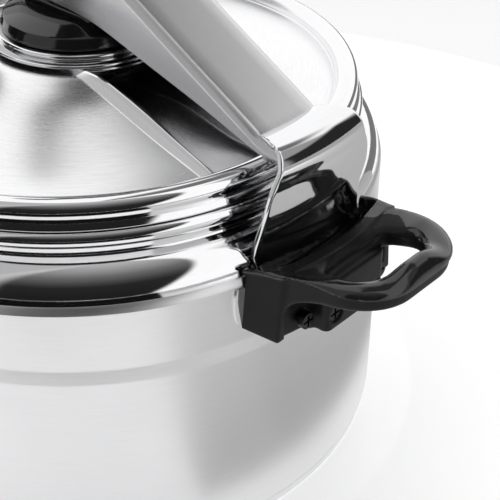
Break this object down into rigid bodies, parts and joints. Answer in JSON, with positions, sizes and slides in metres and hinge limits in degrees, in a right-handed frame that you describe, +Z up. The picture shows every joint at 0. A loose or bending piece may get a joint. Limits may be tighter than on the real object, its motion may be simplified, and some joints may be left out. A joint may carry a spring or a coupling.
{
  "type": "pressure canner",
  "caption": "Steel pressure canner with a domed lid held by a screw-down clamp arch whose jaws hook under brackets beside black loop handles.",
  "frame": {"origin": "on the floor under the pot's axis, at the centre of the base", "axes": "+Z up along the pot's axis; +X along the clamp arch to the right handle; +Y across the arch"},
  "size_m": [0.3584, 0.2564, 0.2656],
  "materials": {
    "satin_steel": "satin brushed stainless steel",
    "polished_steel": "mirror polished stainless steel",
    "steel_hardware": "plain bright steel hardware",
    "aluminium_core": "rolled aluminium",
    "black_bakelite": "glossy black phenolic",
    "seal_rubber": "silicone sealing rubber",
    "brass": "turned brass"
  },
  "bodies": {
    "pot": {"pot_body": "satin_steel", "base_core": "aluminium_core", "base_cap": "satin_steel", "right_bracket": "polished_steel", "left_bracket": "polished_steel", "right_handle": "black_bakelite", "left_handle": "black_bakelite", "handle_screws": "steel_hardware", "handle_nuts": "steel_hardware"},
    "lid": {"lid_shell": "satin_steel", "gasket": "seal_rubber", "centre_disc": "polished_steel", "centre_ring": "polished_steel", "centre_stud": "steel_hardware", "centre_nut": "steel_hardware", "vent_stem": "steel_hardware", "vent_nut": "steel_hardware", "safety_body": "steel_hardware", "safety_nut": "steel_hardware"},
    "weight": {"weight_core": "steel_hardware", "weight_cap": "black_bakelite"},
    "safety_pin": {"safety_plunger": "brass", "safety_spring": "steel_hardware"},
    "swivel": {"swivel_hub": "black_bakelite"},
    "clamp": {"clamp_arch": "satin_steel", "right_jaw": "polished_steel", "left_jaw": "polished_steel", "end_blocks": "steel_hardware", "jaw_rivets": "steel_hardware", "arch_bush": "brass", "bush_nut": "steel_hardware"},
    "knob": {"clamp_screw": "steel_hardware", "screw_clip": "steel_hardware", "knob_body": "black_bakelite", "knob_nut": "steel_hardware", "knob_cover": "polished_steel"}
  },
  "joints": [
    {"name": "lid_lift", "type": "slide", "parent": "pot", "child": "lid", "axis": [0, 0, 1], "range_m": [0, 0.12]},
    {"name": "weight_lift", "type": "slide", "parent": "lid", "child": "weight", "axis": [0, 0, 1], "range_m": [0, 0.03]},
    {"name": "safety_pop", "type": "slide", "parent": "lid", "child": "safety_pin", "axis": [0, 0, 1], "range_m": [0, 0.003], "stiffness_N_per_m": 400, "springref_m": -0.002, "deforming": ["safety_spring"]},
    {"name": "clamp_turn", "type": "hinge", "parent": "lid", "child": "swivel", "pos_m": [0, 0, 0.19], "axis": [0, 0, 1], "range_deg": [0, 1.2]},
    {"name": "clamp_rise", "type": "slide", "parent": "swivel", "child": "clamp", "axis": [0, 0, 1], "range_m": [0, 0.0015]},
    {"name": "knob_turn", "type": "hinge", "parent": "swivel", "child": "knob", "pos_m": [0, 0, 0.25], "axis": [0, 0, 1], "range_deg": [-180, 0]}
  ],
  "couplings": [
    {"joint": "knob_turn", "follows": "clamp_rise", "rad_per_m": -2094.4}
  ]
}
